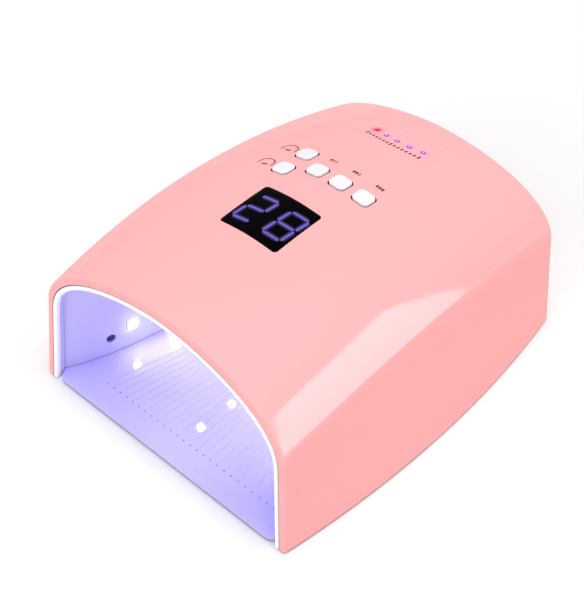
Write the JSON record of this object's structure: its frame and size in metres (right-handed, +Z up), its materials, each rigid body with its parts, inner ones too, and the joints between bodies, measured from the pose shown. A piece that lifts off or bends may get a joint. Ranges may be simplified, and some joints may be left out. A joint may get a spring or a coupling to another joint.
{
  "type": "uv led nail lamp",
  "caption": "Arched cordless UV LED nail lamp with a hand chamber, lift-off base plate, sprung keys and a two-digit timer window.",
  "frame": {"origin": "under the middle of the lamp's length and width, on the surface that its feet stand on", "axes": "+Z up, -Y out of the hand opening, +X to the right of a person who looks into the opening"},
  "size_m": [0.2032, 0.2287, 0.1125],
  "materials": {
    "pink_casing": "high-gloss injection-moulded plastic",
    "white_trim": "smooth gloss",
    "reflector_white": "satin white, lit violet by the lamp beads",
    "frame_white": "satin moulded plastic",
    "floor_plate": "gloss white coating over pressed steel",
    "rubber_foot": "matte moulded rubber",
    "display_black": "smoked acrylic, polished",
    "black_plastic": "fine-textured moulded plastic",
    "circuit_board": "green solder mask",
    "led_board": "white solder mask over aluminium",
    "lamp_bead": "clear silicone over the chip, lit",
    "sensor_lens": "dark infrared-pass plastic, polished",
    "indicator_lens": "clear tinted light pipe",
    "key_white": "smooth gloss",
    "bright_steel": "bright plated steel",
    "cell_wrap": "blue heat-shrink wrap over a metal can"
  },
  "bodies": {
    "base": {"base_plate": "floor_plate", "foot_front_left": "rubber_foot", "foot_front_right": "rubber_foot", "foot_rear_left": "rubber_foot", "foot_rear_right": "rubber_foot"},
    "housing": {"outer_shell": "pink_casing", "front_bezel": "white_trim", "reflector_liner": "reflector_white", "bottom_frame": "frame_white", "display_window": "display_black", "display_module": "black_plastic", "control_board": "circuit_board", "indicator_board": "circuit_board", "battery_tray": "black_plastic", "charging_jack": "black_plastic", "screw_front_left": "bright_steel", "screw_front_right": "bright_steel", "screw_rear_left": "bright_steel", "screw_rear_right": "bright_steel", "magnet_front_left": "bright_steel", "magnet_front_right": "bright_steel", "magnet_rear_left": "bright_steel", "magnet_rear_right": "bright_steel", "switch_timer_left": "black_plastic", "switch_timer_middle": "black_plastic", "switch_timer_right": "black_plastic", "switch_mode_front": "black_plastic", "switch_mode_rear": "black_plastic", "indicator_1": "indicator_lens", "indicator_2": "indicator_lens", "indicator_3": "indicator_lens", "indicator_4": "indicator_lens", "indicator_5": "indicator_lens", "led_board_wall_left": "led_board", "led_board_wall_right": "led_board", "led_board_roof_left": "led_board", "led_board_roof_right": "led_board", "led_wall_left_1": "lamp_bead", "led_wall_left_2": "lamp_bead", "led_wall_left_3": "lamp_bead", "led_wall_right_1": "lamp_bead", "led_wall_right_2": "lamp_bead", "led_wall_right_3": "lamp_bead", "led_roof_left_1": "lamp_bead", "led_roof_left_2": "lamp_bead", "led_roof_left_3": "lamp_bead", "led_roof_right_1": "lamp_bead", "led_roof_right_2": "lamp_bead", "led_roof_right_3": "lamp_bead", "sensor_left": "sensor_lens", "sensor_right": "sensor_lens", "battery_cell_1": "cell_wrap", "battery_cell_2": "cell_wrap", "battery_cell_3": "cell_wrap", "battery_cell_4": "cell_wrap"},
    "key_timer_left": {"button_timer_left": "key_white"},
    "key_timer_middle": {"button_timer_middle": "key_white"},
    "key_timer_right": {"button_timer_right": "key_white"},
    "key_mode_front": {"button_mode_front": "key_white"},
    "key_mode_rear": {"button_mode_rear": "key_white"}
  },
  "joints": [
    {"name": "lift_off", "type": "slide", "parent": "base", "child": "housing", "axis": [0, 0, 1], "range_m": [0, 0.1]},
    {"name": "press_timer_left", "type": "slide", "parent": "housing", "child": "key_timer_left", "axis": [0, 0, -1], "range_m": [0, 0.0008], "stiffness_N_per_m": 1200},
    {"name": "press_timer_middle", "type": "slide", "parent": "housing", "child": "key_timer_middle", "axis": [0, 0, -1], "range_m": [0, 0.0008], "stiffness_N_per_m": 1200},
    {"name": "press_timer_right", "type": "slide", "parent": "housing", "child": "key_timer_right", "axis": [0, 0, -1], "range_m": [0, 0.0008], "stiffness_N_per_m": 1200},
    {"name": "press_mode_front", "type": "slide", "parent": "housing", "child": "key_mode_front", "axis": [0, 0, -1], "range_m": [0, 0.0008], "stiffness_N_per_m": 1200},
    {"name": "press_mode_rear", "type": "slide", "parent": "housing", "child": "key_mode_rear", "axis": [0, 0, -1], "range_m": [0, 0.0008], "stiffness_N_per_m": 1200}
  ]
}
